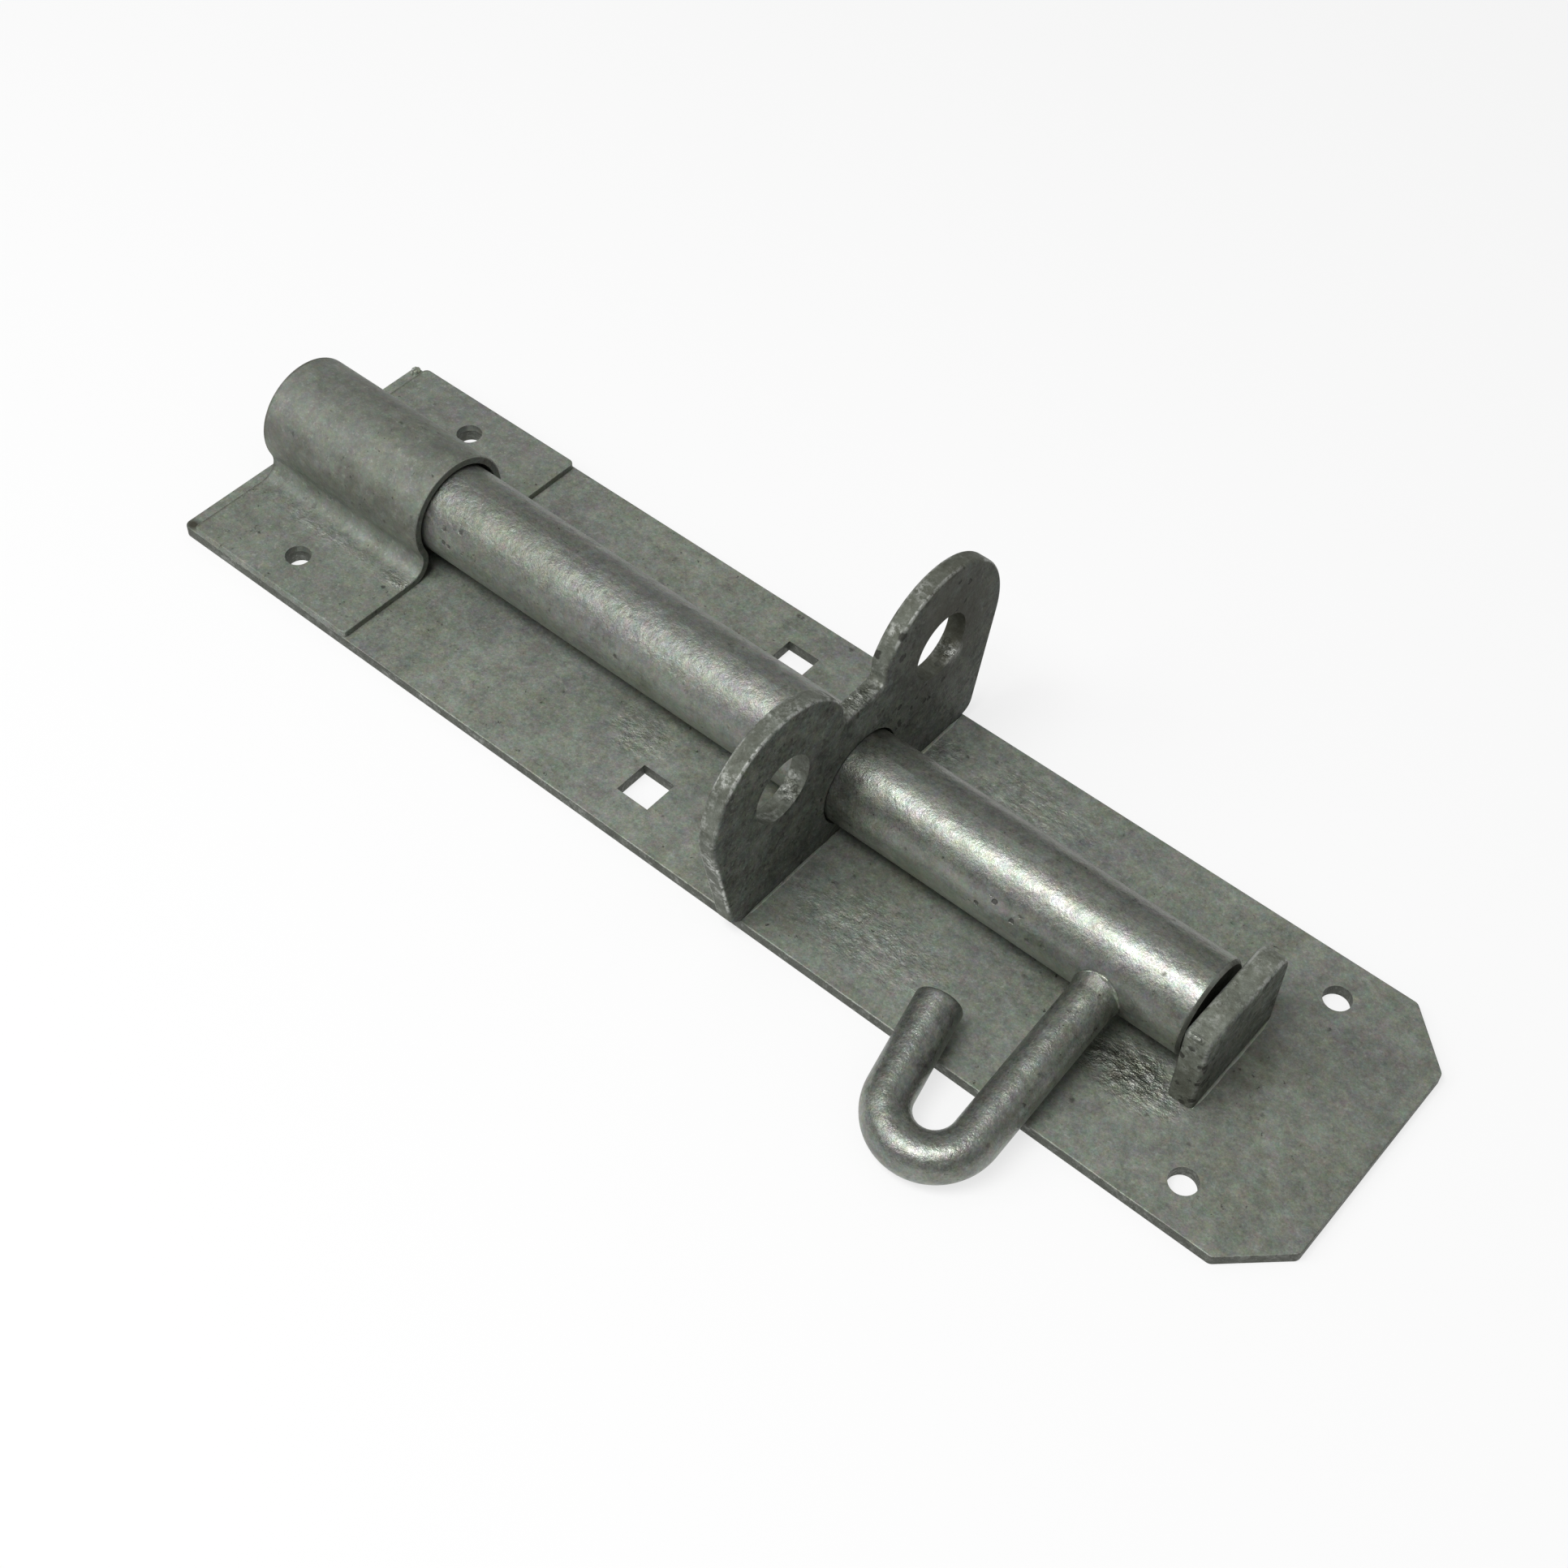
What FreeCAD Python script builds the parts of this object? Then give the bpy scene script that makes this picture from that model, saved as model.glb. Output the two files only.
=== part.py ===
import FreeCAD, Part
import math
import os

# Padbolt of hot-dip galvanised steel: a round bar slides along a back plate through a pressed strap and
# an upright bracket with two eared holes. A bent rod on the bar is its handle, and an end stop keeps the
# bar from sliding off. Millimetres. The origin is the centre of the plate's underside. +X points to the
# end stop and -X the way the bar is thrown, -Y to the side on which the handle lies, and +Z away from
# the door.

Vector = FreeCAD.Vector

# Back plate
PLATE_LENGTH = 203.2
PLATE_WIDTH = 50.8
PLATE_THICKNESS = 2.0
PLATE_CUT_LENGTH = 8.3
PLATE_CUT_WIDTH = 7.8
PLATE_CORNER_RADIUS = 1.2
PLATE_EDGE_RADIUS = 0.2

# Screw holes, one pair at the rear end and one pair through the strap, and square holes for coach bolts
SCREW_HOLE_DIAMETER = 4.2
SCREW_HOLE_SPACING = 37.4
REAR_HOLES_FROM_END = 17.0
STRAP_HOLES_FROM_END = 19.6
SQUARE_HOLE_SIDE = 5.9
SQUARE_HOLE_SPACING = 32.8
SQUARE_HOLES_FROM_BRACKET = 23.0

# Round bar
BAR_DIAMETER = 15.0
BAR_ABOVE_PLATE = 1.2
BAR_NOSE_CHAMFER = 1.2
BAR_TAIL_CHAMFER = 0.5
BAR_NOSE_INSIDE_STRAP = 0.8
BAR_TAIL_GAP = 0.8

# Pressed strap that guides the front of the bar
STRAP_THICKNESS = 1.2
STRAP_LENGTH = 34.3
STRAP_FRONT_INSET = 2.7
STRAP_BAR_CLEARANCE = 0.6
STRAP_FLARE_RADIUS = 2.8
STRAP_CORNER_RADIUS = 1.0
STRAP_EDGE_RADIUS = 0.3

# Upright bracket with two ears
BRACKET_THICKNESS = 3.0
BRACKET_REAR_FROM_CENTRE = 15.2
BRACKET_FOOT_OVERHANG = 1.6
BRACKET_FOOT_RADIUS = 2.5
BRACKET_BAR_CLEARANCE = 0.4
BRACKET_EDGE_RADIUS = 0.6
EAR_RADIUS = 13.9
EAR_HOLE_DIAMETER = 11.0
EAR_HOLE_SPACING = 34.4
EAR_HOLE_ABOVE_BAR = 5.3
NOTCH_WIDTH = 9.0
NOTCH_ABOVE_BAR = 7.8
NOTCH_FLOOR_RADIUS = 1.0
NOTCH_LIP_RADIUS = 1.6

# End stop
STOP_FRONT_FROM_REAR_END = 26.2
STOP_THICKNESS = 4.0
STOP_WIDTH = 19.6
STOP_SIDE_OFFSET = 0.5
STOP_HEIGHT = 15.0
STOP_NEAR_CORNER_RADIUS = 1.2
STOP_FAR_CORNER_RADIUS = 2.8
STOP_EDGE_RADIUS = 0.8

# Handle of bent round rod, welded to the bar
ROD_DIAMETER = 7.0
HANDLE_FROM_STOP = 13.9
HANDLE_REACH = 33.4
BEND_RADIUS = 6.5
BEND_ANGLE = 169.0
SHORT_LIMB_LENGTH = 14.5
ROD_END_RADIUS = 0.9
ROOT_GAP = 0.05
WELD_WIDTH = 0.6
WELD_HEIGHT = 1.0
HANDLE_REST_GAP = 0.1

# Places that follow from the sizes above
HALF_LENGTH = PLATE_LENGTH / 2
HALF_WIDTH = PLATE_WIDTH / 2
BAR_RADIUS = BAR_DIAMETER / 2
AXIS_Z = PLATE_THICKNESS + BAR_ABOVE_PLATE + BAR_RADIUS
EAR_Y = EAR_HOLE_SPACING / 2
EAR_Z = AXIS_Z + BAR_RADIUS + EAR_HOLE_ABOVE_BAR
NOTCH_Z = AXIS_Z + BAR_RADIUS + NOTCH_ABOVE_BAR
ROD_RADIUS = ROD_DIAMETER / 2
STRAP_FRONT_X = -HALF_LENGTH + STRAP_FRONT_INSET
STRAP_RADIUS = BAR_RADIUS + STRAP_BAR_CLEARANCE + STRAP_THICKNESS
STRAP_TOP_Z = PLATE_THICKNESS + STRAP_THICKNESS
STRAP_HOLES_X = -HALF_LENGTH + STRAP_HOLES_FROM_END
REAR_HOLES_X = HALF_LENGTH - REAR_HOLES_FROM_END
BRACKET_REAR_X = BRACKET_REAR_FROM_CENTRE
BRACKET_FRONT_X = BRACKET_REAR_X - BRACKET_THICKNESS
SQUARE_HOLES_X = BRACKET_FRONT_X - SQUARE_HOLES_FROM_BRACKET
STOP_FRONT_X = HALF_LENGTH - STOP_FRONT_FROM_REAR_END
BAR_NOSE_X = STRAP_FRONT_X + BAR_NOSE_INSIDE_STRAP
BAR_TAIL_X = STOP_FRONT_X - BAR_TAIL_GAP
HANDLE_X = STOP_FRONT_X - HANDLE_FROM_STOP
X_AXIS = Vector(1, 0, 0)
Z_AXIS = Vector(0, 0, 1)


def rod_along_x(radius, start, end, y, z):
    """A round bar parallel to X."""
    return Part.makeCylinder(radius, end - start, Vector(start, y, z), X_AXIS)


def prism(points, along):
    """A closed outline of straight edges, extruded."""
    face = Part.Face(Part.makePolygon(points + points[:1]))
    return face.extrude(along)


def edges_along(shape, direction):
    """The straight edges parallel to a direction."""
    found = []
    for edge in shape.Edges:
        if edge.Curve.TypeId != "Part::GeomLine":
            continue
        if edge.tangentAt(edge.FirstParameter).cross(direction).Length < 1e-6:
            found.append(edge)
    return found


def edges_in_plane(shape, axis, value):
    """The edges that lie whole in a plane across one of the axes."""
    found = []
    for edge in shape.Edges:
        box = edge.BoundBox
        low = getattr(box, axis + "Min")
        high = getattr(box, axis + "Max")
        if abs(low - value) < 1e-4 and abs(high - value) < 1e-4:
            found.append(edge)
    return found


def screw_holes(x):
    """A pair of round cutters through the plate and what lies on it."""
    depth = PLATE_THICKNESS + STRAP_THICKNESS
    cutters = []
    for side in (-1, 1):
        place = Vector(x, side * SCREW_HOLE_SPACING / 2, -depth)
        cutters.append(Part.makeCylinder(SCREW_HOLE_DIAMETER / 2, 3 * depth, place, Z_AXIS))
    return cutters


def square_holes():
    """A pair of square cutters through the plate."""
    cutters = []
    for side in (-1, 1):
        corner = Vector(SQUARE_HOLES_X, side * SQUARE_HOLE_SPACING / 2, 0)
        corner -= Vector(SQUARE_HOLE_SIDE / 2, SQUARE_HOLE_SIDE / 2, PLATE_THICKNESS)
        cutters.append(Part.makeBox(SQUARE_HOLE_SIDE, SQUARE_HOLE_SIDE, 3 * PLATE_THICKNESS, corner))
    return cutters


def back_plate():
    """Flat plate, with the two corners cut off at the rear end."""
    outline = [
        Vector(-HALF_LENGTH, -HALF_WIDTH, 0),
        Vector(HALF_LENGTH - PLATE_CUT_LENGTH, -HALF_WIDTH, 0),
        Vector(HALF_LENGTH, -HALF_WIDTH + PLATE_CUT_WIDTH, 0),
        Vector(HALF_LENGTH, HALF_WIDTH - PLATE_CUT_WIDTH, 0),
        Vector(HALF_LENGTH - PLATE_CUT_LENGTH, HALF_WIDTH, 0),
        Vector(-HALF_LENGTH, HALF_WIDTH, 0),
    ]
    plate = prism(outline, Vector(0, 0, PLATE_THICKNESS))
    plate = plate.makeFillet(PLATE_CORNER_RADIUS, edges_along(plate, Z_AXIS))
    rims = edges_in_plane(plate, "Z", 0) + edges_in_plane(plate, "Z", PLATE_THICKNESS)
    plate = plate.makeFillet(PLATE_EDGE_RADIUS, rims)
    return plate.cut(screw_holes(REAR_HOLES_X) + screw_holes(STRAP_HOLES_X) + square_holes())


def strap_side(radius, flare, flange_z, side):
    """One side of the strap's line, from its flange's end up to where it leaves the barrel's circle."""
    drop = AXIS_Z - (flange_z + flare)
    spread = math.sqrt((radius + flare) ** 2 - drop ** 2)
    share = radius / (radius + flare)
    waist = Vector(STRAP_FRONT_X, side * spread * share, AXIS_Z - drop * share)
    foot = Vector(STRAP_FRONT_X, side * spread, flange_z)
    centre = Vector(STRAP_FRONT_X, side * spread, flange_z + flare)
    toward = (waist - centre).normalize() + (foot - centre).normalize()
    middle = centre + toward.normalize() * flare
    tip = Vector(STRAP_FRONT_X, side * HALF_WIDTH, flange_z)
    return tip, foot, middle, waist


def strap_line(radius, flare, flange_z):
    """Flange, flare, barrel, flare and flange as one run of edges."""
    near = strap_side(radius, flare, flange_z, -1)
    far = strap_side(radius, flare, flange_z, 1)
    crown = Vector(STRAP_FRONT_X, 0, AXIS_Z + radius)
    edges = [
        Part.LineSegment(near[0], near[1]).toShape(),
        Part.Arc(near[1], near[2], near[3]).toShape(),
        Part.Arc(near[3], crown, far[3]).toShape(),
        Part.Arc(far[3], far[2], far[1]).toShape(),
        Part.LineSegment(far[1], far[0]).toShape(),
    ]
    return edges, near[0], far[0]


def guide_strap():
    """Sheet pressed to a barrel over the bar, with a flange on each side."""
    under_flare = STRAP_FLARE_RADIUS + STRAP_THICKNESS
    under, under_near, under_far = strap_line(STRAP_RADIUS - STRAP_THICKNESS, under_flare, PLATE_THICKNESS)
    over, over_near, over_far = strap_line(STRAP_RADIUS, STRAP_FLARE_RADIUS, STRAP_TOP_Z)
    near_end = Part.LineSegment(under_near, over_near).toShape()
    far_end = Part.LineSegment(under_far, over_far).toShape()
    outline = Part.Wire(Part.__sortEdges__(under + over + [near_end, far_end]))
    strap = Part.Face(outline).extrude(Vector(STRAP_LENGTH, 0, 0))
    strap = strap.makeFillet(STRAP_CORNER_RADIUS, edges_along(strap, Z_AXIS))
    strap = strap.makeFillet(STRAP_EDGE_RADIUS, strap_rims(strap))
    return strap.cut(screw_holes(STRAP_HOLES_X))


def strap_rims(strap):
    """The upper edges of the strap's two ends."""
    found = []
    for x in (STRAP_FRONT_X, STRAP_FRONT_X + STRAP_LENGTH):
        for edge in edges_in_plane(strap, "X", x):
            middle = edge.valueAt((edge.FirstParameter + edge.LastParameter) / 2)
            reach = Vector(0, middle.y, middle.z - AXIS_Z).Length
            on_flange = abs(middle.z - STRAP_TOP_Z) < 1e-4
            on_barrel = abs(reach - STRAP_RADIUS) < 1e-4
            if on_flange or on_barrel:
                found.append(edge)
    return found


def ear_tangent(foot, centre):
    """Where a line from the foot touches the outer side of the ear's circle."""
    away = centre - foot
    turn = math.asin(EAR_RADIUS / away.Length)
    reach = math.sqrt(away.Length ** 2 - EAR_RADIUS ** 2)
    heading = math.atan2(away.z, away.y) - turn
    return foot + Vector(0, math.cos(heading), math.sin(heading)) * reach


def lock_bracket():
    """Upright plate with a bore for the bar, and an ear with a padlock hole on each side of a notch."""
    along = Vector(BRACKET_THICKNESS, 0, 0)
    foot = Vector(BRACKET_FRONT_X, HALF_WIDTH + BRACKET_FOOT_OVERHANG, PLATE_THICKNESS)
    flank = ear_tangent(foot, Vector(BRACKET_FRONT_X, EAR_Y, EAR_Z))
    half = [foot, flank, Vector(BRACKET_FRONT_X, EAR_Y, NOTCH_Z)]
    other = [Vector(p.x, -p.y, p.z) for p in reversed(half)]
    body = prism(half + other, along)
    for side in (-1, 1):
        ear = rod_along_x(EAR_RADIUS, BRACKET_FRONT_X, BRACKET_REAR_X, side * EAR_Y, EAR_Z)
        body = body.fuse(ear)
    notch = Part.makeBox(BRACKET_THICKNESS, NOTCH_WIDTH, EAR_Z + EAR_RADIUS,
                         Vector(BRACKET_FRONT_X, -NOTCH_WIDTH / 2, NOTCH_Z))
    body = body.cut(notch).removeSplitter()
    body = round_bracket(body, foot)
    start = BRACKET_FRONT_X - BRACKET_THICKNESS
    end = BRACKET_REAR_X + BRACKET_THICKNESS
    cutters = [rod_along_x(BAR_RADIUS + BRACKET_BAR_CLEARANCE, start, end, 0, AXIS_Z)]
    for side in (-1, 1):
        cutters.append(rod_along_x(EAR_HOLE_DIAMETER / 2, start, end, side * EAR_Y, EAR_Z))
    return body.cut(cutters)


def round_bracket(body, foot):
    """Rounds the bracket's feet and notch, then all of its outline but the foot's underside."""
    lip_y = EAR_Y - NOTCH_WIDTH / 2
    lip_z = EAR_Z + math.sqrt(EAR_RADIUS ** 2 - lip_y ** 2)
    rounds = ((foot.y, foot.z, BRACKET_FOOT_RADIUS), (NOTCH_WIDTH / 2, NOTCH_Z, NOTCH_FLOOR_RADIUS),
              (NOTCH_WIDTH / 2, lip_z, NOTCH_LIP_RADIUS))
    for y, z, radius in rounds:
        corners = []
        for edge in edges_along(body, X_AXIS):
            place = edge.valueAt(edge.FirstParameter)
            if abs(abs(place.y) - y) < 1e-3 and abs(place.z - z) < 1e-3:
                corners.append(edge)
        body = body.makeFillet(radius, corners)
    rims = []
    for x in (BRACKET_FRONT_X, BRACKET_REAR_X):
        for edge in edges_in_plane(body, "X", x):
            if edge.BoundBox.ZMax > PLATE_THICKNESS + BRACKET_FOOT_RADIUS + 1e-3:
                rims.append(edge)
    return body.makeFillet(BRACKET_EDGE_RADIUS, rims)


def end_stop():
    """Short upright block behind the bar's end, a little off the middle and rounder at its far corner."""
    near_y = STOP_SIDE_OFFSET - STOP_WIDTH / 2
    corner = Vector(STOP_FRONT_X, near_y, PLATE_THICKNESS)
    block = Part.makeBox(STOP_THICKNESS, STOP_WIDTH, STOP_HEIGHT, corner)
    for y, radius in ((near_y, STOP_NEAR_CORNER_RADIUS), (near_y + STOP_WIDTH, STOP_FAR_CORNER_RADIUS)):
        top = [edge for edge in edges_along(block, X_AXIS) if edge.BoundBox.ZMin > PLATE_THICKNESS + 1e-3]
        block = block.makeFillet(radius, [edge for edge in top if abs(edge.BoundBox.YMin - y) < 1e-3])
    rims = []
    for x in (STOP_FRONT_X, STOP_FRONT_X + STOP_THICKNESS):
        for edge in edges_in_plane(block, "X", x):
            if edge.BoundBox.ZMax > PLATE_THICKNESS + 1e-3:
                rims.append(edge)
    return block.makeFillet(STOP_EDGE_RADIUS, rims)


def bolt_bar():
    """Round bar with a chamfer at each end."""
    bar = rod_along_x(BAR_RADIUS, BAR_NOSE_X, BAR_TAIL_X, 0, AXIS_Z)
    bar = bar.makeChamfer(BAR_NOSE_CHAMFER, edges_in_plane(bar, "X", BAR_NOSE_X))
    return bar.makeChamfer(BAR_TAIL_CHAMFER, edges_in_plane(bar, "X", BAR_TAIL_X))


def handle_droop():
    """How far the handle hangs below level, until it meets the plate's edge or the surface behind it."""
    keep_off = ROD_RADIUS + HANDLE_REST_GAP
    to_surface = math.asin((AXIS_Z - keep_off) / (HANDLE_REACH + BEND_RADIUS))
    edge_drop = AXIS_Z - PLATE_THICKNESS
    to_edge = math.acos(keep_off / math.hypot(HALF_WIDTH, edge_drop)) - math.atan2(HALF_WIDTH, edge_drop)
    return math.degrees(min(to_surface, to_edge))


def hook_handle():
    """Rod square to the bar, bent back to a short limb, with a weld at its root."""
    root = Vector(HANDLE_X, 0, AXIS_Z)
    outward = Vector(0, -1, 0)
    shank = Part.makeCylinder(ROD_RADIUS, HANDLE_REACH, root, outward)
    section = Part.Face(Part.Wire(Part.makeCircle(ROD_RADIUS, root + outward * HANDLE_REACH, outward)))
    pivot = Vector(HANDLE_X - BEND_RADIUS, -HANDLE_REACH, AXIS_Z)
    bend = section.revolve(pivot, Vector(0, 0, -1), BEND_ANGLE)
    turn = math.radians(BEND_ANGLE)
    limb_start = pivot + Vector(math.cos(turn), -math.sin(turn), 0) * BEND_RADIUS
    limb_way = Vector(-math.sin(turn), -math.cos(turn), 0)
    limb = Part.makeCylinder(ROD_RADIUS, SHORT_LIMB_LENGTH, limb_start, limb_way)
    tip = limb_start + limb_way * SHORT_LIMB_LENGTH
    rims = [edge for edge in limb.Edges if (edge.CenterOfMass - tip).Length < 1e-3]
    limb = limb.makeFillet(ROD_END_RADIUS, rims)
    weld_foot = BAR_RADIUS * math.cos(math.asin((ROD_RADIUS + WELD_WIDTH) / BAR_RADIUS))
    weld = Part.makeCone(ROD_RADIUS + WELD_WIDTH, ROD_RADIUS, BAR_RADIUS - weld_foot + WELD_HEIGHT,
                         root + outward * weld_foot, outward)
    handle = shank.fuse([bend, limb, weld]).removeSplitter()
    handle = handle.cut(rod_along_x(BAR_RADIUS + ROOT_GAP, BAR_NOSE_X, BAR_TAIL_X, 0, AXIS_Z))
    handle.rotate(root, X_AXIS, handle_droop())
    return handle


def main():
    os.makedirs("parts", exist_ok=True)
    for build in (back_plate, guide_strap, lock_bracket, end_stop, bolt_bar, hook_handle):
        shape = build()
        shape.exportStep("parts/" + build.__name__ + ".step")
        print(build.__name__, len(shape.Solids), "solid, valid:", shape.isValid())


main()
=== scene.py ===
import math

import bmesh
import bpy
from mathutils import Matrix, Vector, noise


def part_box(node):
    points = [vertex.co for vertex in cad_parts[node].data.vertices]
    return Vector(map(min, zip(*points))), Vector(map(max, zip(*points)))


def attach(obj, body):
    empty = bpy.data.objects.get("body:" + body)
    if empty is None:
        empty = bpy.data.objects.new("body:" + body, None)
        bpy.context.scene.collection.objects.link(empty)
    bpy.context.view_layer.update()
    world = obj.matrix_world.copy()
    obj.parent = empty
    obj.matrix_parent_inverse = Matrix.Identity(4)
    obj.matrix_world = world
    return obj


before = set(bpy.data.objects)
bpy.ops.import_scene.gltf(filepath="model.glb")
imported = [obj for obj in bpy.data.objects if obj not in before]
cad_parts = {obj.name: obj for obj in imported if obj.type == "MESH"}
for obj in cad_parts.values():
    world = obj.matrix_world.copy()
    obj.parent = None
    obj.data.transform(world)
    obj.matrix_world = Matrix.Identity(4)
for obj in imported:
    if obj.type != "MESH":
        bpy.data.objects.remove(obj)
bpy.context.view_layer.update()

MM = 0.001

# Camera, at the place and turn that the object's outline in the photograph gives
CAMERA_PLACE = Vector((0.1355, -0.1690, 0.2634))
CAMERA_TARGET = Vector((0.0028, -0.0014, 0.0))
CAMERA_ROLL_DEG = 2.47
CAMERA_LENS_MM = 53.2
CAMERA_SENSOR_MM = 36.0
CAMERA_CLIP_START = 0.01

# Two soft lamps above the handle's side, each as (name, direction, length along X, width, power)
LAMP_DISTANCE = 0.8
LAMPS = (
    ("key", Vector((-0.04, -0.39, 0.92)), 0.50, 0.28, 4.2),
    ("fill", Vector((-0.50, -0.59, 0.62)), 0.45, 0.45, 1.15),
)

# The world is bright overhead and dim at its horizon
WORLD_ZENITH = 0.46
WORLD_HORIZON = 0.09

# Floor, whose share of plain white keeps it pale and leaves the object's shadow
FLOOR_COLOUR = (0.90, 0.90, 0.90, 1.0)
FLOOR_ROUGHNESS = 0.9
FLOOR_WHITE_SHARE = 0.72
FLOOR_HALF_SIZE = 3.0
FLOOR_DROP = 0.05 * MM

# Noise whose finer and finer steps are about as strong as its widest
EVEN_DETAIL = 6.0
EVEN_ROUGHNESS = 0.93

# How far red, green and blue each drift, over how many features in a millimetre
TINGE = 0.50
TINGE_PER_MM = 0.70

# Contrast of the fine grain, as a share of the mottle's
GRAIN_SHARE = 0.28

# Zinc colours, from clean to dirty; the darkest ones also paint shade, and the pale one also paints light on
# chamfers
ZINC_GREY = (0.232, 0.254, 0.215)
ZINC_ROD = (0.240, 0.254, 0.226)
ZINC_PALE = (0.400, 0.420, 0.375)
ZINC_SILVER = (0.680, 0.700, 0.660)
ZINC_OLIVE = (0.200, 0.214, 0.160)
ZINC_MAUVE = (0.215, 0.206, 0.208)
ZINC_BROWN = (0.122, 0.124, 0.092)
ZINC_DIRT_AND_SHADE = (0.062, 0.060, 0.044)
ZINC_DARK = (0.040, 0.040, 0.034)

# Depths of the zinc's relief
WAVE_DEPTH = 0.30 * MM
BLOTCH_DEPTH = 0.070 * MM
MOTTLE_DEPTH = 0.050 * MM
GRAIN_DEPTH = 0.022 * MM
RIM_DEPTH = 0.12 * MM
CRUST_DEPTH = 0.80 * MM
DULL_DEPTH = 0.18 * MM
PIT_DEPTH = 0.15 * MM

# Places on the object, in millimetres from the middle of the plate's underside
BAR_AXIS_Z = 10.7
HANDLE_X = 61.5
EAR_HOLE_Y = 17.2
EAR_HOLE_Z = 23.5
NOTCH_FLOOR_Z = 26.0

# Marks on the plate's top, in millimetres, each as (x, y, reach along X, reach along Y, strength)
MARK_REACH_Z = 4
# Before the bracket's near side and beside the handle's root these are painted shadow; at the rear end and
# behind the stop the plate is only made darker
PLATE_SHADOWS_AND_DARKER_PATCHES = {
    "rear end": (93, 0, 24, 45, 0.26),
    "before the bracket's near side": (2, -12, 11, 8, 0.35),
    "beside the handle's root": (67, -10.5, 8, 4.5, 0.60),
    "behind the stop": (82, 0, 5, 13, 0.35),
}
PLATE_CRUSTS = {
    "between the handle and the stop": (70.5, -9.5, 11.0, 6.0, 0.80),
    "before the near square hole": (-18.5, -9.5, 7.0, 6.0, 0.40),
    "behind the bracket's near side": (30.0, -15.5, 17.0, 8.0, 0.35),
    "behind the bracket's far side": (33.0, 18.0, 15.0, 7.0, 0.40),
    "at the bracket's far foot": (17.6, 17.0, 4.0, 5.0, 0.45),
}
PLATE_CRUST_SHADE = 0.6

# Marks at the stop's near end, in millimetres from the middle line
STOP_MARKS_Y = -8.9

# Runs of zinc on the plate: their thickness, and where they start and end
BRACKET_SEAM_SIZE = 0.32 * MM
BRACKET_SEAM_FROM_Y = 6.5 * MM
BRACKET_SEAM_INSET = 1.0 * MM
STOP_SEAM_SIZE = 0.40 * MM
STOP_SEAM_INSET = 0.3 * MM
STRAP_FILL_SIZE = 1.3 * MM
STRAP_FILL_FROM_Y = 10.6 * MM
STRAP_FILL_TO_Y = 13.6 * MM
CORNER_LUMP_X = -100.6 * MM
CORNER_LUMP_Y = 24.3 * MM
CORNER_LUMP_RADII = (0.7 * MM, 0.9 * MM, 0.9 * MM)

# Bead round the top of the handle's root, from one turn to another about the rod, in degrees toward +X
HANDLE_DROOP_DEG = 10.25
BEAD_FROM_DEG = -55
BEAD_TO_DEG = 85
BEAD_RING = 3.75 * MM
BEAD_SIZE = 0.42 * MM
BEAD_FLATNESS = 0.7


def spot(x, y, z):
    """A place or a reach, given in millimetres."""
    return Vector((x, y, z)) * MM


def scaled(colour, level):
    """A colour made lighter or darker."""
    return tuple(part * level for part in colour)


def middle_x(node):
    """Where the middle of a CAD node lies along X, in millimetres."""
    low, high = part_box(node)
    return (low.x + high.x) / 2 / MM


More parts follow.
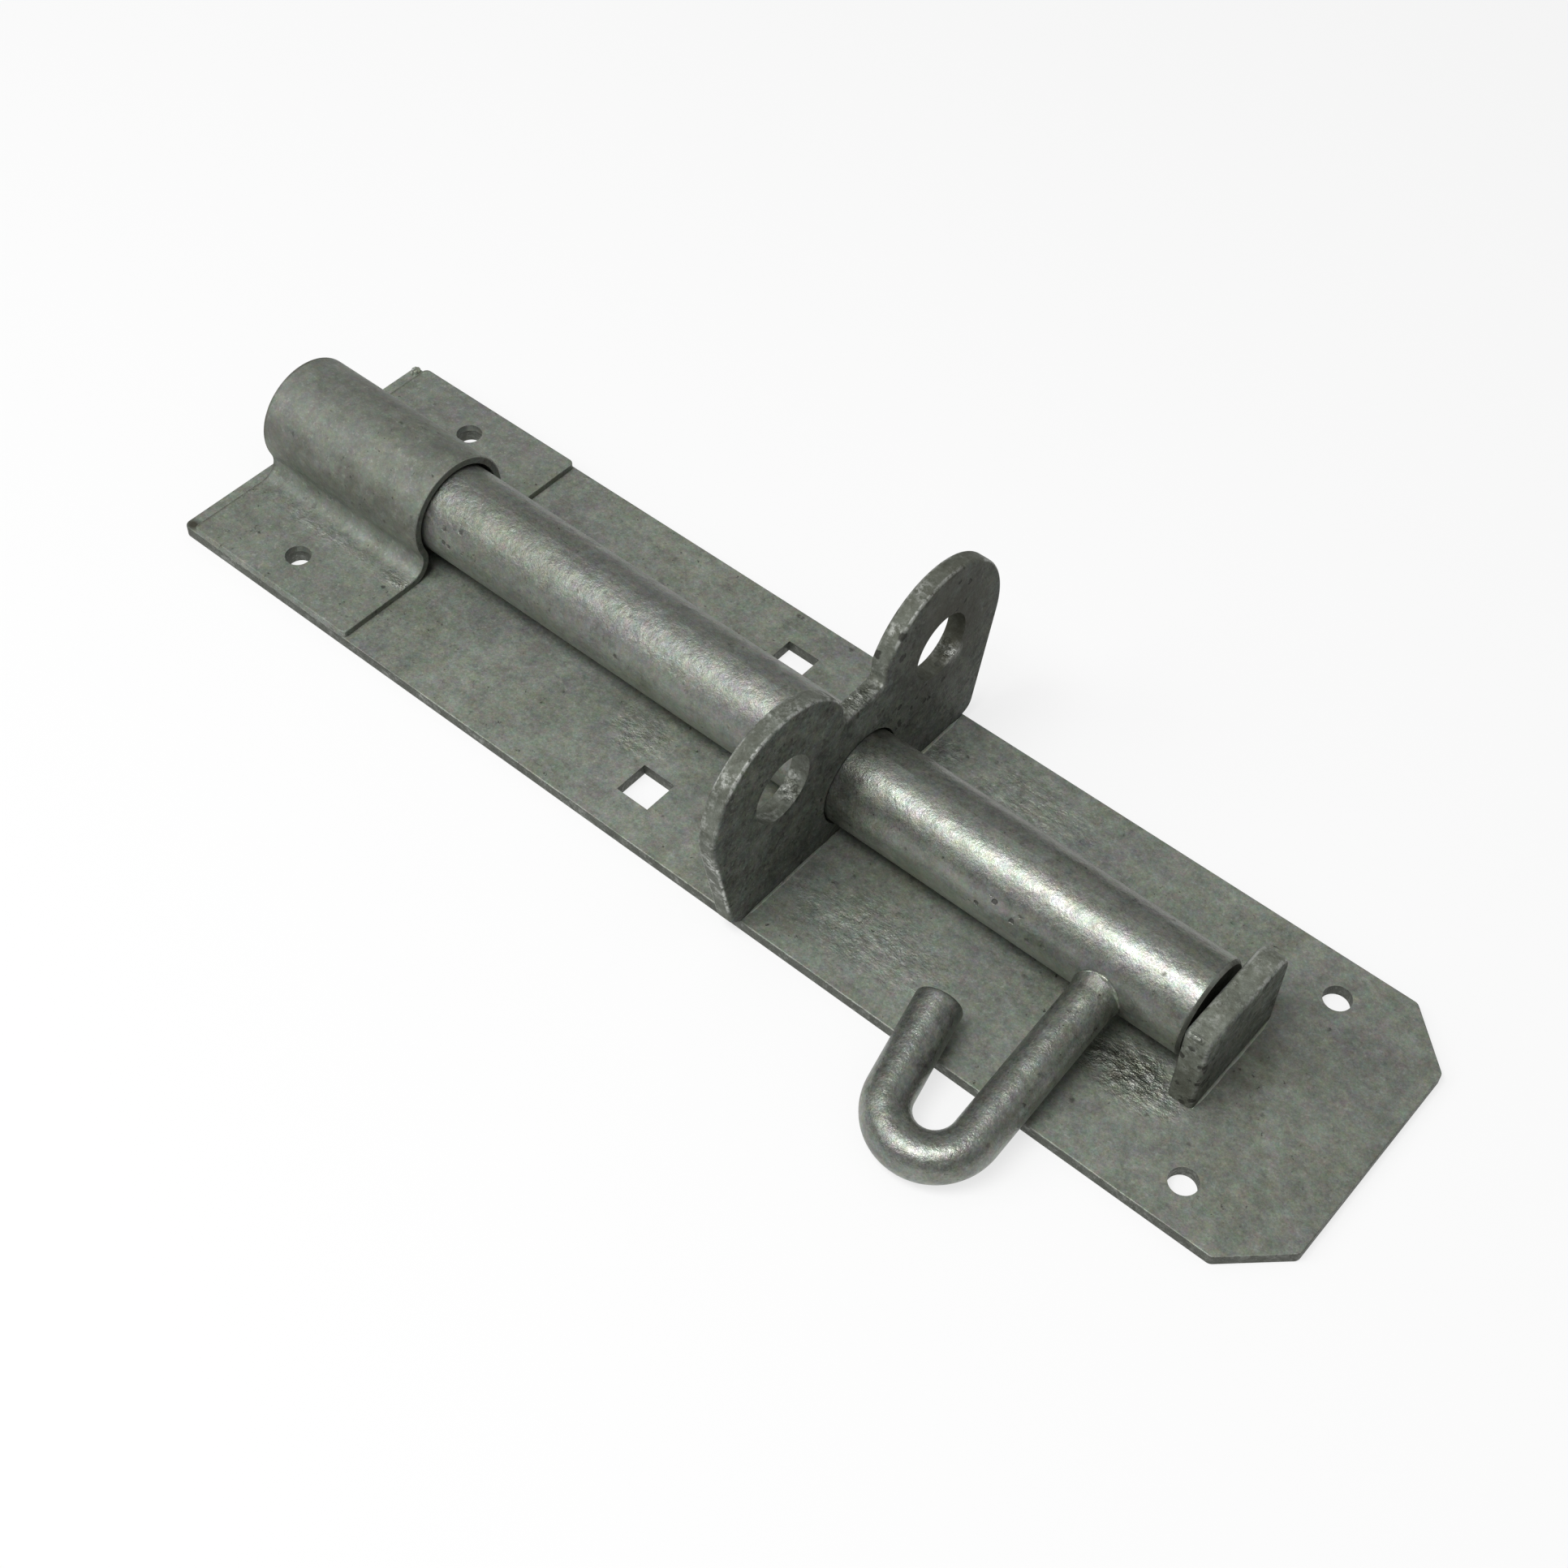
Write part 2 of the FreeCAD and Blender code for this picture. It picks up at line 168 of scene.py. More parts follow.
class Graph:
    """A material's nodes, with short calls to add and join them."""

    def __init__(self, name):
        self.material = bpy.data.materials.new(name)
        self.material.use_nodes = True
        self.tree = self.material.node_tree
        self.tree.nodes.clear()
        self.coordinates = self.add("ShaderNodeTexCoord").outputs["Object"]

    def add(self, kind, inputs=None, **settings):
        """A node of a kind, with its settings and inputs given as values or as other nodes' outputs."""
        node = self.tree.nodes.new(kind)
        for key, value in settings.items():
            setattr(node, key, value)
        for key, value in (inputs or {}).items():
            if isinstance(value, bpy.types.NodeSocket):
                self.tree.links.new(value, node.inputs[key])
            else:
                node.inputs[key].default_value = value
        return node

    def math(self, operation, a, b=0.0, clamp=False):
        """The result of arithmetic on one or two numbers."""
        return self.add("ShaderNodeMath", {0: a, 1: b}, operation=operation, use_clamp=clamp).outputs[0]

    def vector(self, operation, inputs, output="Vector"):
        """The result of arithmetic on vectors or colours."""
        return self.add("ShaderNodeVectorMath", inputs, operation=operation).outputs[output]

    def place(self, per_mm, stretch=(1, 1, 1), shift=0.0):
        """The object's coordinates, with this many units in a millimetre."""
        scale = [part * per_mm / MM for part in stretch]
        inputs = {"Vector": self.coordinates, "Scale": scale, "Location": (shift, shift, shift)}
        return self.add("ShaderNodeMapping", inputs).outputs[0]

    def noise(self, per_mm, detail, rough=0.55, stretch=(1, 1, 1), shift=0.0, output="Fac"):
        """Noise from 0 to 1, with about this many features in a millimetre."""
        place = self.place(per_mm, stretch, shift)
        inputs = {"Vector": place, "Scale": 1.0, "Detail": detail, "Roughness": rough}
        return self.add("ShaderNodeTexNoise", inputs).outputs[output]

    def cells(self, per_mm):
        """Distance to the nearest of scattered points, in units of their spacing, made uneven by a wobble."""
        wobble = 0.25
        drift = self.noise(4 * per_mm, detail=2.0, rough=0.5, output="Color")
        moved = self.vector("MULTIPLY_ADD", {0: drift, 1: [wobble] * 3, 2: self.place(per_mm)})
        inputs = {"Vector": moved, "Scale": 1.0, "Randomness": 1.0}
        return self.add("ShaderNodeTexVoronoi", inputs).outputs["Distance"]

    def vary(self, colour, pattern, contrast):
        """A colour made lighter and darker by a pattern that runs from 0 to 1."""
        factor = self.remap(pattern, 0.0, 1.0, 1 - contrast / 2, 1 + contrast / 2)
        return self.vector("SCALE", {0: colour, "Scale": factor})

    def tinge(self, colour, per_mm, amount, shift):
        """A colour whose red, green and blue each drift a little by themselves."""
        drift = self.noise(per_mm, EVEN_DETAIL, EVEN_ROUGHNESS, shift=shift, output="Color")
        factor = self.vector("MULTIPLY_ADD", {0: drift, 1: [2 * amount] * 3, 2: [1 - amount] * 3})
        return self.vector("MULTIPLY", {0: colour, 1: factor})

    def remap(self, value, low, high, to_low=0.0, to_high=1.0):
        """A value's range stretched to another, and held at its ends."""
        inputs = {"Value": value, "From Min": low, "From Max": high, "To Min": to_low, "To Max": to_high}
        return self.add("ShaderNodeMapRange", inputs, clamp=True).outputs["Result"]

    def mix(self, share, a, b):
        """Two colours mixed by a share."""
        inputs = {0: share}
        for key, colour in ((6, a), (7, b)):
            inputs[key] = colour if isinstance(colour, bpy.types.NodeSocket) else (*colour, 1.0)
        return self.add("ShaderNodeMix", inputs, data_type="RGBA").outputs[2]

    def bump(self, height, distance, normal=None):
        """A bump of a height, over a distance in metres."""
        inputs = {"Height": height, "Distance": distance, "Strength": 1.0}
        if normal is not None:
            inputs["Normal"] = normal
        return self.add("ShaderNodeBump", inputs).outputs["Normal"]

    def near(self, centre, radii, core=0.35):
        """A mask of 1 at a centre that falls to 0 at an ellipsoid's skin."""
        away = self.vector("SUBTRACT", {0: self.coordinates, 1: centre})
        in_radii = self.vector("MULTIPLY", {0: away, 1: [1 / radius for radius in radii]})
        length = self.vector("LENGTH", {0: in_radii}, output="Value")
        return self.remap(length, core, 1.0, 1.0, 0.0)

    def scattered_pits(self, fields):
        """A mask of pits inside fields, each (centre, radii, spacing and radius in millimetres)."""
        mask = 0.0
        for centre, radii, spacing, radius in fields:
            away = self.cells(1 / spacing)
            pit = self.remap(away, radius / spacing, 0.7 * radius / spacing)
            inside = self.math("MULTIPLY", pit, self.near(centre, radii, core=0.8))
            mask = self.math("MAXIMUM", inside, mask)
        return mask

    def facing(self, axis):
        """How far a face looks along an axis of the object, from 0 to 1."""
        normal = self.add("ShaderNodeNewGeometry").outputs["True Normal"]
        turned = self.add("ShaderNodeVectorTransform", {"Vector": normal}, vector_type="NORMAL",
                          convert_from="WORLD", convert_to="OBJECT").outputs[0]
        along = self.add("ShaderNodeSeparateXYZ", {0: turned}).outputs[axis]
        return self.math("ABSOLUTE", along)


class Zinc(Graph):
    """A hot-dip zinc skin."""

    def __init__(self, name, roughness, metallic, base=ZINC_GREY, level=1.0, seed=0.0, contrast=1.2,
                 scars=0.15, pits=0.4, glints=0.15, relief=1.0, rim=None):
        """A rim is (axis, level, shine): worn edges, where faces turn away from the axis."""
        super().__init__(name)
        self.add_noises(seed)
        self.colour = self.clouds(base, level, contrast, seed)
        self.darken_flaws(scars, pits)
        self.normal = self.ripples(relief)
        rough = self.math("ADD", self.remap(self.blotch, 0.3, 0.7, 0.05, -0.05), roughness)
        self.rough = self.math("ADD", rough, self.remap(self.grain, 0.3, 0.7, -0.06, 0.06), clamp=True)
        self.metal = self.remap(self.mottle, 0.3, 0.7, metallic - 0.1, min(1.0, metallic + 0.1))
        self.bright = self.math("MULTIPLY", self.remap(self.glint, 0.57, 0.70), glints)
        if rim is not None:
            self.wear_rim(*rim)
        self.silver_over()

    def add_noises(self, seed):
        """The noises that all steps share, from the widest to the finest, each with a shift of its own."""
        self.broad = self.noise(0.030, detail=2.0, shift=11.0 + seed)
        self.tint = self.noise(0.090, detail=4.0, rough=0.6, shift=3.0 + seed)
        self.even = self.noise(0.20, detail=EVEN_DETAIL, rough=EVEN_ROUGHNESS, shift=61.0 + seed)
        self.blotch = self.noise(0.32, detail=4.0, rough=0.62, shift=37.0 + seed)
        self.scar = self.noise(0.55, detail=5.0, rough=0.72, shift=53.0 + seed)
        self.mottle = self.noise(1.00, detail=4.0, rough=0.64, shift=7.0 + seed)
        self.glint = self.noise(1.40, detail=3.0, rough=0.70, shift=47.0 + seed)
        self.grain = self.noise(3.2, detail=2.0, rough=0.6, shift=19.0 + seed)

    def clouds(self, base, level, contrast, seed):
        """Broad clouds and tints, mottle as strong at every scale, and grain."""
        pale = self.remap(self.broad, 0.35, 0.65, to_high=0.20)
        olive = self.remap(self.tint, 0.50, 0.66, to_high=0.45)
        mauve = self.remap(self.tint, 0.47, 0.34, to_high=0.45)
        colour = self.mix(pale, scaled(base, level), scaled(ZINC_PALE, level))
        colour = self.mix(olive, colour, scaled(ZINC_OLIVE, level))
        colour = self.mix(mauve, colour, scaled(ZINC_MAUVE, level))
        colour = self.vary(colour, self.even, contrast)
        colour = self.vary(colour, self.grain, contrast * GRAIN_SHARE)
        return self.tinge(colour, TINGE_PER_MM, TINGE, 71.0 + seed)

    def darken_flaws(self, scars, pits):
        """Dark scars, fine pits in clusters, and a few round specks."""
        scarred = self.remap(self.scar, 0.45, 0.34, to_high=scars)
        self.colour = self.mix(scarred, self.colour, ZINC_DARK)
        spread = 0.08 * pits
        fine = self.remap(self.mottle, 0.67 - spread, 0.72 - spread)
        clusters = self.remap(self.tint, 0.50 - spread, 0.58 - spread)
        self.cover(self.math("MULTIPLY", fine, clusters), 0.8, ZINC_DARK)
        specks = self.remap(self.cells(0.25), 0.13, 0.05)
        patches = self.remap(self.blotch, 0.55, 0.42)
        self.cover(self.math("MULTIPLY", specks, patches), 0.7, ZINC_DARK)

    def ripples(self, relief):
        """The uneven skin: a slow wave, ripples of a few millimetres, and a fine grain."""
        wave = self.noise(0.12, detail=2.0, shift=29.0)
        normal = self.bump(wave, WAVE_DEPTH)
        normal = self.bump(self.blotch, BLOTCH_DEPTH * relief, normal)
        normal = self.bump(self.mottle, MOTTLE_DEPTH * relief, normal)
        return self.bump(self.grain, GRAIN_DEPTH * relief, normal)

    def cover(self, mask, share, colour):
        """Lays a share of a colour over what a mask covers."""
        self.colour = self.mix(self.math("MULTIPLY", mask, share), self.colour, colour)

    def roughen(self, mask, amount):
        """Adds to the roughness where a mask is, and takes away if the amount is below 0."""
        self.rough = self.math("ADD", self.rough, self.math("MULTIPLY", mask, amount))

    def emboss(self, mask, pattern, depth):
        """Adds a pattern's relief where a mask is."""
        self.normal = self.bump(self.math("MULTIPLY", mask, pattern), depth, self.normal)

    def wear_rim(self, axis, level, shine):
        """Edges worn to brown and grey, with bright spots and bright corners."""
        facing = self.facing(axis)
        mask = self.remap(facing, 0.80, 0.45)
        corner = self.math("MULTIPLY", self.remap(facing, 0.15, 0.45), self.remap(facing, 0.95, 0.75))
        greyness = self.remap(self.scar, 0.38, 0.62, 0.35, 0.85)
        worn = self.mix(greyness, scaled(ZINC_BROWN, level), scaled(ZINC_GREY, 1.1 * level))
        self.cover(mask, 0.9, self.vary(worn, self.even, 1.8))
        spots = self.math("MULTIPLY", mask, self.remap(self.blotch, 0.50, 0.66, to_high=0.7 * shine))
        spots = self.math("MULTIPLY", spots, self.remap(self.glint, 0.44, 0.60))
        corner = self.math("MULTIPLY", corner, self.remap(self.tint, 0.44, 0.54, to_high=shine))
        corner = self.math("MULTIPLY", corner, self.remap(self.glint, 0.38, 0.56))
        self.bright = self.math("MAXIMUM", self.bright, self.math("MAXIMUM", spots, corner))
        self.emboss(mask, self.glint, RIM_DEPTH)

    def silver_over(self):
        """Smooth silver metal where the skin is bright."""
        self.colour = self.mix(self.bright, self.colour, ZINC_SILVER)
        self.metal = self.math("MAXIMUM", self.metal, self.bright)
        self.roughen(self.bright, -0.22)

    def dirt_and_shade(self, centre, radii, strength):
        """A darker patch, denser in blotches: dirt in some places, painted shade in others."""
        mask = self.math("MULTIPLY", self.near(centre, radii), self.remap(self.blotch, 0.36, 0.54, 0.4, 1.0))
        self.cover(mask, strength, ZINC_DIRT_AND_SHADE)

    def crust(self, centre, radii, strength, shade):
        """A rough, shiny crust of zinc, with hollows darkened by a shade."""
        mask = self.near(centre, radii, core=0.3)
        mask = self.math("MULTIPLY", mask, self.remap(self.blotch, 0.34, 0.50))
        mask = self.math("MULTIPLY", mask, strength)
        lumps = self.noise(0.50, detail=4.0, rough=0.62, stretch=(1.0, 1.8, 1.0), shift=41.0)
        self.cover(mask, self.remap(lumps, 0.50, 0.66, to_high=0.5), ZINC_SILVER)
        self.cover(mask, self.remap(lumps, 0.48, 0.36, to_high=shade), ZINC_DARK)
        self.metal = self.math("MAXIMUM", self.metal, self.math("MULTIPLY", mask, 0.9))
        self.roughen(mask, -0.24)
        self.emboss(mask, lumps, CRUST_DEPTH)

    def dull(self, centre, radii, amount):
        """A patch that is rougher and less even."""
        mask = self.near(centre, radii, core=0.6)
        self.roughen(mask, amount)
        self.emboss(mask, self.scar, DULL_DEPTH)

    def pit(self, fields):
        """Dark pits in fields, each (centre, radii, spacing and radius in millimetres)."""
        mask = self.scattered_pits(fields)
        self.cover(mask, 0.9, ZINC_DARK)
        self.metal = self.math("MULTIPLY", self.metal, self.math("SUBTRACT", 1.0, mask))
        self.normal = self.bump(mask, -PIT_DEPTH, self.normal)

    def darken_ends(self, strength):
        """Dark faces along X, which on the bar are painted shade, and chamfers that are a little paler and
        less metallic, which is painted light.
        """
        facing = self.facing("X")
        chamfer = self.math("MULTIPLY", self.remap(facing, 0.50, 0.60), self.remap(facing, 0.90, 0.80))
        # Painted light on the chamfers: less metallic and a little paler
        self.metal = self.math("MULTIPLY", self.metal, self.remap(chamfer, 0.0, 1.0, 1.0, 0.6))
        self.cover(chamfer, 0.2, ZINC_PALE)
        # Dark faces along X; on the bar this is painted shade
        self.colour = self.mix(self.remap(facing, 0.80, 0.93, to_high=strength), self.colour, ZINC_DARK)

    def finish(self, specular=0.5):
        """Joins the skin to a shader, and gives the material."""
        inputs = {"Base Color": self.colour, "Roughness": self.rough, "Metallic": self.metal,
                  "Normal": self.normal, "Specular IOR Level": specular}
        shader = self.add("ShaderNodeBsdfPrincipled", inputs)
        self.add("ShaderNodeOutputMaterial", {"Surface": shader.outputs[0]})
        return self.material


def dress(node, material):
    """Gives a CAD node one material."""
    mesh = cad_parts[node].data
    mesh.materials.clear()
    mesh.materials.append(material)


def dress_plate():
    """The back plate: a dark near front corner, crusts by the upright pieces, painted shadow by the bracket
    and the handle's root, darker patches at the rear end and behind the stop, and a few pits.
    """
    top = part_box("back_plate")[1].z / MM
    zinc = Zinc("zinc_plate", 0.58, 0.50, contrast=2.0, scars=0.16, glints=0.18, rim=("Z", 0.38, 0.35))
    near_front_corner = spot(-100.4, -24.4, top)
    zinc.dirt_and_shade(near_front_corner, spot(1.7, 1.4, 3), strength=1.0)
    # Painted shadow by the bracket and the handle's root, and darker patches at the rear end and behind the
    # stop
    for x, y, reach_x, reach_y, strength in PLATE_SHADOWS_AND_DARKER_PATCHES.values():
        zinc.dirt_and_shade(spot(x, y, top), spot(reach_x, reach_y, MARK_REACH_Z), strength)
    for x, y, reach_x, reach_y, strength in PLATE_CRUSTS.values():
        zinc.crust(spot(x, y, top), spot(reach_x, reach_y, MARK_REACH_Z), strength, PLATE_CRUST_SHADE)
    behind_bracket = spot(28, -12.5, top)
    zinc.pit([(behind_bracket, spot(6, 4, MARK_REACH_Z), 2.2, 0.42)])
    dress("back_plate", zinc.finish())


def dress_strap():
    """The guide strap: dirt on its front edge and barrel, painted shade on the barrel's near flank, and
    crusts along the barrel's near foot.
    """
    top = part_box("back_plate")[1].z / MM
    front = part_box("guide_strap")[0].x / MM
    zinc = Zinc("zinc_strap", 0.60, 0.42, level=0.90, seed=2.0, contrast=1.8, glints=0.20)
    front_edge = spot(front, 0, top)
    zinc.dirt_and_shade(front_edge, spot(0.7, 60, 60), strength=0.7)
    barrel_top = spot(-82, 0, 20)
    zinc.dirt_and_shade(barrel_top, spot(60, 11.5, 15), strength=0.28)
    # Painted shade on the barrel's near flank, where it turns down toward the flange
    shaded_near_flank = spot(-82, -10, 13)
    zinc.dirt_and_shade(shaded_near_flank, spot(60, 4.5, 6), strength=0.50)
    near_foot = spot(-83, -12.3, 4.0)
    zinc.crust(near_foot, spot(22, 2.4, 2.6), strength=0.45, shade=0.1)
    near_foot_end = spot(-66.5, -12.2, 4.6)
    zinc.crust(near_foot_end, spot(4.5, 2.6, 3.0), strength=0.90, shade=0.0)
    near_flange_end = spot(-67.5, -15.5, 3.2)
    zinc.pit([(near_flange_end, spot(2.5, 2, 2), 1.5, 0.40)])
    zinc.darken_ends(0.35)
    dress("guide_strap", zinc.finish())


def dress_bracket():
    """The eared bracket: scarred, with dirt and painted shade on its far ear, and crusts in the notch and the
    ears' holes.
    """
    middle = middle_x("lock_bracket")
    zinc = Zinc("zinc_bracket", 0.62, 0.12, level=0.50, seed=4.0, contrast=3.4, scars=0.75, pits=0.8,
                glints=0.12, relief=1.6, rim=("X", 0.64, 0.7))
    # Dirt and painted shade on the far ear
    far_ear = spot(middle, 19, 26)
    zinc.dirt_and_shade(far_ear, spot(6, 14, 17), strength=0.90)
    notch_floor = spot(middle, 0, NOTCH_FLOOR_Z)
    zinc.crust(notch_floor, spot(4, 6.5, 1.6), strength=0.7, shade=0.4)
    for side in (-1, 1):
        hole_wall = spot(middle, side * EAR_HOLE_Y + 3.4, EAR_HOLE_Z - 4.3)
        zinc.crust(hole_wall, spot(4, 2.4, 2.4), strength=0.9, shade=0.2)
    by_the_bar = spot(middle, 10, 16)
    by_the_notch = spot(middle, 7, 31)
    on_the_far_ear = spot(middle, 20, 32)
    zinc.pit([(by_the_bar, spot(4, 11, 5), 2.1, 0.55),
              (by_the_notch, spot(4, 4, 6), 2.6, 0.80),
              (on_the_far_ear, spot(4, 4, 5), 2.6, 0.50)])
    dress("lock_bracket", zinc.finish(specular=0.12))


def dress_stop():
    """The end stop: scarred, with a dirty near end and a crust on that end's top edge."""
    middle = middle_x("end_stop")
    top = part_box("end_stop")[1].z / MM
    zinc = Zinc("zinc_stop", 0.56, 0.20, level=0.54, seed=6.0, contrast=3.8, scars=0.85, glints=0.20,
                relief=2.4, rim=("X", 0.82, 0.5))
    near_foot = spot(middle + 1, STOP_MARKS_Y, 4)
    zinc.dirt_and_shade(near_foot, spot(6, 6, 9), strength=0.60)
    near_top_edge = spot(middle, STOP_MARKS_Y, top - 0.3)
    zinc.crust(near_top_edge, spot(2.6, 0.5, 0.6), strength=0.7, shade=0.3)
    near_end = spot(middle, -8.5, 8)
    zinc.pit([(near_end, spot(4, 4, 8), 1.7, 0.62)])
    dress("end_stop", zinc.finish(specular=0.12))


def dress_bar():
    """The round bar: painted shade low on both sides, along its far side, behind the bracket and on its rear
    face, and a dull front half.
    """
    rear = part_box("bolt_bar")[1].x / MM
    zinc = Zinc("zinc_bar", 0.37, 0.80, base=ZINC_ROD, seed=8.0, contrast=1.5, scars=0.28, pits=0.2,
                relief=1.2)
    # Painted shade low on both sides, toward the plate
    for side in (-1, 1):
        shaded_low_side = spot(30, side * 7.0, 5.0)
        zinc.dirt_and_shade(shaded_low_side, spot(90, 3.5, 4.5), strength=0.40)
    # Painted shade along the far side
    shaded_far_side_rear = spot(46, 5.5, 15.5)
    zinc.dirt_and_shade(shaded_far_side_rear, spot(45, 4.0, 5.0), strength=0.60)
    shaded_far_side_front = spot(-20, 7.0, 13.5)
    zinc.dirt_and_shade(shaded_far_side_front, spot(90, 3.0, 5.0), strength=0.30)
    # Painted shadow of the bracket, on the bar at and just behind it
    bracket_shadow = spot(16.5, 0, BAR_AXIS_Z)
    zinc.dirt_and_shade(bracket_shadow, spot(4, 20, 20), strength=0.5)
    # Painted shade on the rear face, in the gap before the stop
    shaded_rear_face = spot(rear, 0, BAR_AXIS_Z)
    zinc.dirt_and_shade(shaded_rear_face, spot(0.8, 40, 40), strength=0.9)
    front_half = spot(-35, 0, BAR_AXIS_Z)
    zinc.dull(front_half, spot(55, 30, 30), amount=0.10)
    near_side_rear = spot(45, -7.3, 12.3)
    near_side_front = spot(-57, -7, 13)
    zinc.pit([(near_side_rear, spot(9, 2.5, 2.2), 1.9, 0.50),
              (near_side_front, spot(5, 3, 3.5), 2.4, 0.55)])
    # The dark end faces are painted shade, and the paler chamfers are painted light
    zinc.darken_ends(0.25)
    dress("bolt_bar", zinc.finish())


def dress_handle():
    """The bent handle, dull round the top of its root."""
    zinc = Zinc("zinc_handle", 0.37, 0.78, base=ZINC_ROD, level=0.90, seed=10.0, contrast=2.0, scars=0.30,
                relief=1.6)
    root_top = spot(HANDLE_X, -8.5, 13.5)
    zinc.dull(root_top, spot(5, 4, 5), amount=0.15)
    dress("hook_handle", zinc.finish())


def new_piece(name, bm, body, material):
    """A mesh that rides on a body, with one material."""
    mesh = bpy.data.meshes.new(name)
    bmesh.ops.recalc_face_normals(bm, faces=bm.faces)
    bm.to_mesh(mesh)
    bm.free()
    for polygon in mesh.polygons:
        polygon.use_smooth = True
    mesh.materials.append(material)
    piece = bpy.data.objects.new(name, mesh)
    bpy.context.scene.collection.objects.link(piece)
    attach(piece, body)
    return piece


def join_rings(bm, rings):
    """Faces between each ring and the next, and over both ends."""
    for a, b in zip(rings, rings[1:]):
        for k in range(len(a)):
            after = (k + 1) % len(a)
            bm.faces.new((a[k], a[after], b[after], b[k]))
    bm.faces.new(rings[0])
    bm.faces.new(reversed(rings[-1]))


def zinc_seam(name, start, end, outward, size, material, seed):
    """Zinc that ran into the corner between the plate and an upright face, uneven along its length."""
    stations = 60
    arc_steps = 6
    taper_rate = 8
    least_share = 0.05
    unevenness = 0.5
    lumps_per_metre = 400
    sunk = 0.05 * MM
    bm = bmesh.new()
    rings = []
    for i in range(stations + 1):
        share = i / stations
        place = start.lerp(end, share)
        taper = min(1.0, taper_rate * share, taper_rate * (1 - share))
        swell = 1 + unevenness * noise.noise(place * lumps_per_metre + Vector((seed, 0, 0)))
        width = size * max(least_share, taper) * swell
        ring = [bm.verts.new(place - outward * sunk - Vector((0, 0, sunk)))]
        for j in range(arc_steps + 1):
            turn = math.radians(90 * j / arc_steps)
            run = width * (1 - math.sin(turn)) - (sunk if j == arc_steps else 0)
            rise = width * (1 - math.cos(turn)) - (sunk if j == 0 else 0)
            ring.append(bm.verts.new(place + outward * run + Vector((0, 0, rise))))
        rings.append(ring)
    join_rings(bm, rings)
    new_piece(name, bm, "plate", material)


def add_bracket_seams(material):
    """Four seams at the bracket's feet, on both sides of the bar and on both faces."""
    plate_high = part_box("back_plate")[1]
    low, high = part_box("lock_bracket")
    outer = plate_high.y - BRACKET_SEAM_INSET
    for side, label in ((-1, "near"), (1, "far")):
        for way, x, word in ((1, high.x, "rear"), (-1, low.x, "front")):
            start = Vector((x, side * BRACKET_SEAM_FROM_Y, plate_high.z))
            end = Vector((x, side * outer, plate_high.z))
            name = "bracket_seam_" + label + "_" + word
            zinc_seam(name, start, end, Vector((way, 0, 0)), BRACKET_SEAM_SIZE, material, seed=side * 3.0)


def add_stop_seams(material):
    """Two seams at the end stop's foot, on both faces."""
    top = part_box("back_plate")[1].z
    low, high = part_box("end_stop")
    for way, x, word in ((1, high.x, "rear"), (-1, low.x, "front")):
        start = Vector((x, low.y + STOP_SEAM_INSET, top))
        end = Vector((x, high.y - STOP_SEAM_INSET, top))
        name = "stop_seam_" + word
        zinc_seam(name, start, end, Vector((way, 0, 0)), STOP_SEAM_SIZE, material, seed=5.0)


def add_strap_fill(material):
    """A short filled stretch at the far foot of the strap's rear edge."""
    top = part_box("back_plate")[1].z
    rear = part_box("guide_strap")[1].x
    start = Vector((rear, STRAP_FILL_FROM_Y, top))
    end = Vector((rear, STRAP_FILL_TO_Y, top))
    zinc_seam("strap_fill", start, end, Vector((1, 0, 0)), STRAP_FILL_SIZE, material, seed=9.0)


def add_corner_lump(material):
    """A frozen drop of zinc at the plate's far front corner: a ball pulled out of round."""
    unevenness = 0.28
    lumps_per_radius = 1.6
    shift = Vector((1, 0, 0))
    centre = Vector((CORNER_LUMP_X, CORNER_LUMP_Y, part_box("back_plate")[1].z))
    bm = bmesh.new()
    bmesh.ops.create_icosphere(bm, subdivisions=4, radius=1.0)
    for vertex in bm.verts:
        swell = 1 + unevenness * noise.noise(vertex.co * lumps_per_radius + shift)
        out = [part * radius * swell for part, radius in zip(vertex.co, CORNER_LUMP_RADII)]
        vertex.co = centre + Vector(out)
    new_piece("corner_lump", bm, "plate", material)


def add_zinc_runs():
    """Zinc that ran and froze on the plate."""
    material = Zinc("zinc_run", 0.46, 0.60, level=1.45, seed=12.0, relief=1.4).finish()
    add_bracket_seams(material)
    add_stop_seams(material)
    add_strap_fill(material)
    add_corner_lump(material)


def bead_line(axis, bar_radius, stations):
    """Points along the line where the top of the handle's rod meets the bar."""
    droop = Matrix.Rotation(math.radians(HANDLE_DROOP_DEG), 3, "X")
    line = []
    for i in range(stations + 1):
        turn = math.radians(BEAD_FROM_DEG + (BEAD_TO_DEG - BEAD_FROM_DEG) * i / stations)
        aside = BEAD_RING * math.sin(turn)
        up = BEAD_RING * math.cos(turn)
        outward = math.sqrt(bar_radius ** 2 - up ** 2)
        line.append(axis + droop @ Vector((aside, -outward, up)))
    return line


